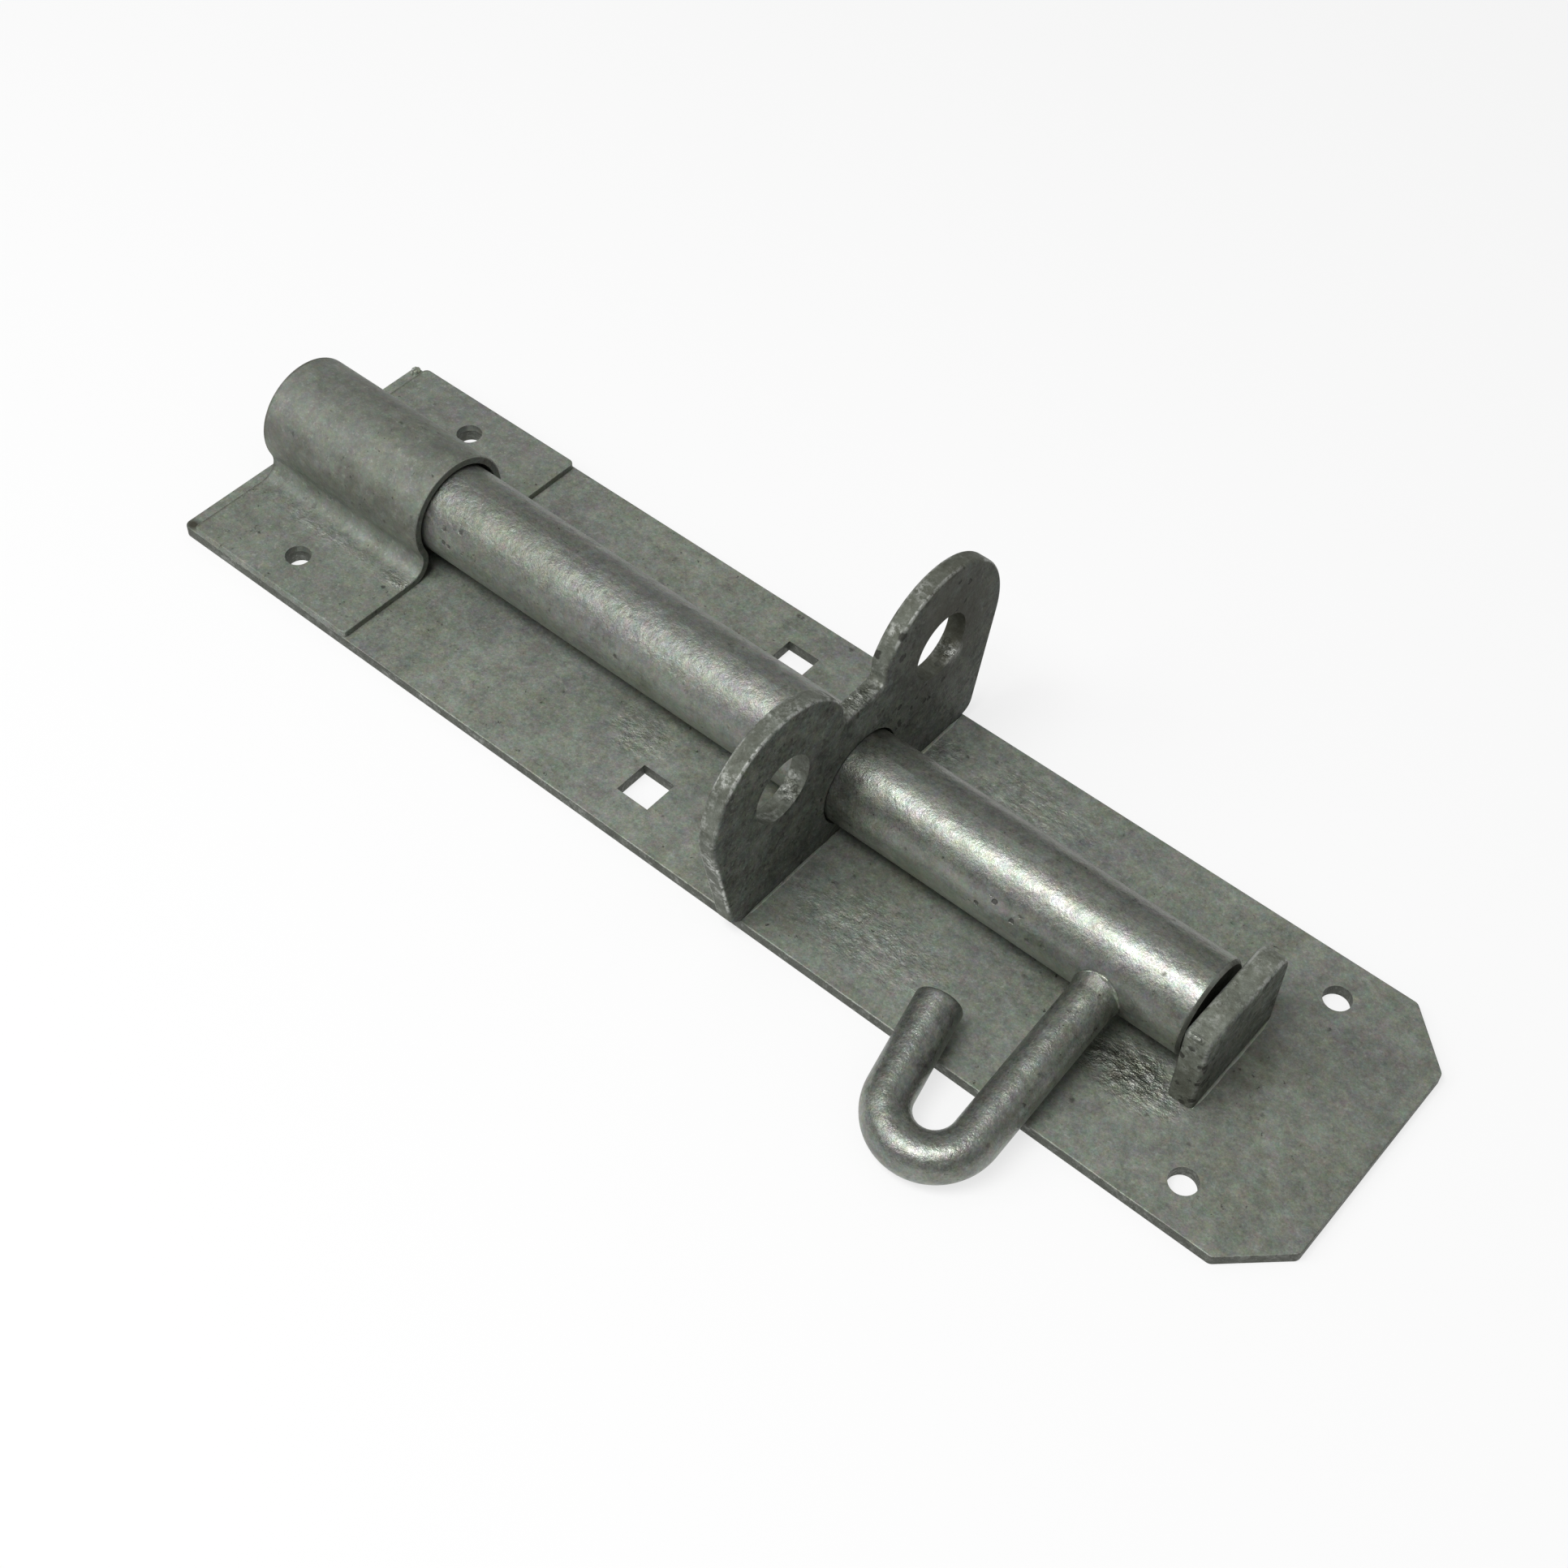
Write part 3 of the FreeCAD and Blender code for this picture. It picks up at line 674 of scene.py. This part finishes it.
def add_root_bead():
    """A ridge of zinc round the top of the handle's root, thinner toward both ends."""
    stations = 48
    around = 10
    unevenness = 0.7
    lumps_per_metre = 700
    taper_power = 0.6
    bar_low, bar_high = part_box("bolt_bar")
    axis = Vector((HANDLE_X * MM, 0, (bar_low.z + bar_high.z) / 2))
    line = bead_line(axis, (bar_high.y - bar_low.y) / 2, stations)
    bm = bmesh.new()
    rings = []
    for i, place in enumerate(line):
        way = (line[min(i + 1, stations)] - line[max(i - 1, 0)]).normalized()
        out = (place - axis).normalized()
        out = (out - way * out.dot(way)).normalized()
        across = way.cross(out)
        taper = math.sin(math.pi * (i + 1) / (stations + 2)) ** taper_power
        size = BEAD_SIZE * taper * (1 + unevenness * noise.noise(place * lumps_per_metre))
        ring = []
        for j in range(around):
            turn = 2 * math.pi * j / around
            step = out * math.cos(turn) * BEAD_FLATNESS + across * math.sin(turn)
            ring.append(bm.verts.new(place + step * size))
        rings.append(ring)
    join_rings(bm, rings)
    material = Zinc("zinc_bead", 0.36, 0.85, level=1.2, seed=14.0, relief=1.5).finish()
    new_piece("root_bead", bm, "handle", material)


def floor_material():
    """Pale grey, part of which is plain white to the camera and in reflections."""
    g = Graph("floor")
    shader = g.add("ShaderNodeBsdfPrincipled", {"Base Color": FLOOR_COLOUR, "Roughness": FLOOR_ROUGHNESS})
    white = g.add("ShaderNodeEmission", {"Color": (1, 1, 1, 1), "Strength": 1.0})
    path = g.add("ShaderNodeLightPath").outputs
    seen = g.math("MAXIMUM", path["Is Camera Ray"], path["Is Glossy Ray"])
    seen = g.math("MAXIMUM", seen, path["Is Transmission Ray"])
    share = g.math("MULTIPLY", seen, FLOOR_WHITE_SHARE)
    surface = g.add("ShaderNodeMixShader", {0: share, 1: shader.outputs[0], 2: white.outputs[0]})
    g.add("ShaderNodeOutputMaterial", {"Surface": surface.outputs[0]})
    return g.material


def make_floor():
    """A plain floor just under the plate."""
    mesh = bpy.data.meshes.new("floor")
    signs = ((-1, -1), (1, -1), (1, 1), (-1, 1))
    corners = [(x * FLOOR_HALF_SIZE, y * FLOOR_HALF_SIZE, -FLOOR_DROP) for x, y in signs]
    mesh.from_pydata(corners, [], [(0, 1, 2, 3)])
    floor = bpy.data.objects.new("floor", mesh)
    bpy.context.scene.collection.objects.link(floor)
    mesh.materials.append(floor_material())


def make_lamps():
    """The soft lamps, each turned to the middle of the plate."""
    for name, direction, length, width, power in LAMPS:
        data = bpy.data.lights.new(name, "AREA")
        data.shape = "ELLIPSE"
        data.size = length
        data.size_y = width
        data.energy = power
        lamp = bpy.data.objects.new(name, data)
        way = direction.normalized()
        lamp.location = way * LAMP_DISTANCE
        lamp.rotation_euler = way.to_track_quat("Z", "Y").to_euler()
        bpy.context.scene.collection.objects.link(lamp)


def make_world():
    """A grey world that darkens from overhead to its horizon."""
    world = bpy.data.worlds.new("world")
    bpy.context.scene.world = world
    world.use_nodes = True
    nodes, links = world.node_tree.nodes, world.node_tree.links
    direction = nodes.new("ShaderNodeTexCoord").outputs["Generated"]
    split = nodes.new("ShaderNodeSeparateXYZ")
    level = nodes.new("ShaderNodeMapRange")
    level.inputs["From Min"].default_value = 0.0
    level.inputs["From Max"].default_value = 1.0
    level.inputs["To Min"].default_value = WORLD_HORIZON
    level.inputs["To Max"].default_value = WORLD_ZENITH
    links.new(direction, split.inputs[0])
    links.new(split.outputs["Z"], level.inputs["Value"])
    links.new(level.outputs["Result"], nodes["Background"].inputs["Strength"])
    nodes["Background"].inputs["Color"].default_value = (1, 1, 1, 1)


def make_camera():
    """A camera that looks at the target, rolled a little about its own line of sight."""
    lens = bpy.data.cameras.new("camera")
    lens.sensor_width = CAMERA_SENSOR_MM
    lens.lens = CAMERA_LENS_MM
    lens.clip_start = CAMERA_CLIP_START
    camera = bpy.data.objects.new("camera", lens)
    turn = (CAMERA_TARGET - CAMERA_PLACE).to_track_quat("-Z", "Y").to_matrix().to_4x4()
    roll = Matrix.Rotation(math.radians(CAMERA_ROLL_DEG), 4, "Z")
    camera.matrix_world = Matrix.Translation(CAMERA_PLACE) @ turn @ roll
    bpy.context.scene.collection.objects.link(camera)
    bpy.context.scene.camera = camera


bpy.context.scene.view_settings.view_transform = "Standard"
make_camera()
make_lamps()
make_world()
make_floor()
dress_plate()
dress_strap()
dress_bracket()
dress_stop()
dress_bar()
dress_handle()
add_zinc_runs()
add_root_bead()
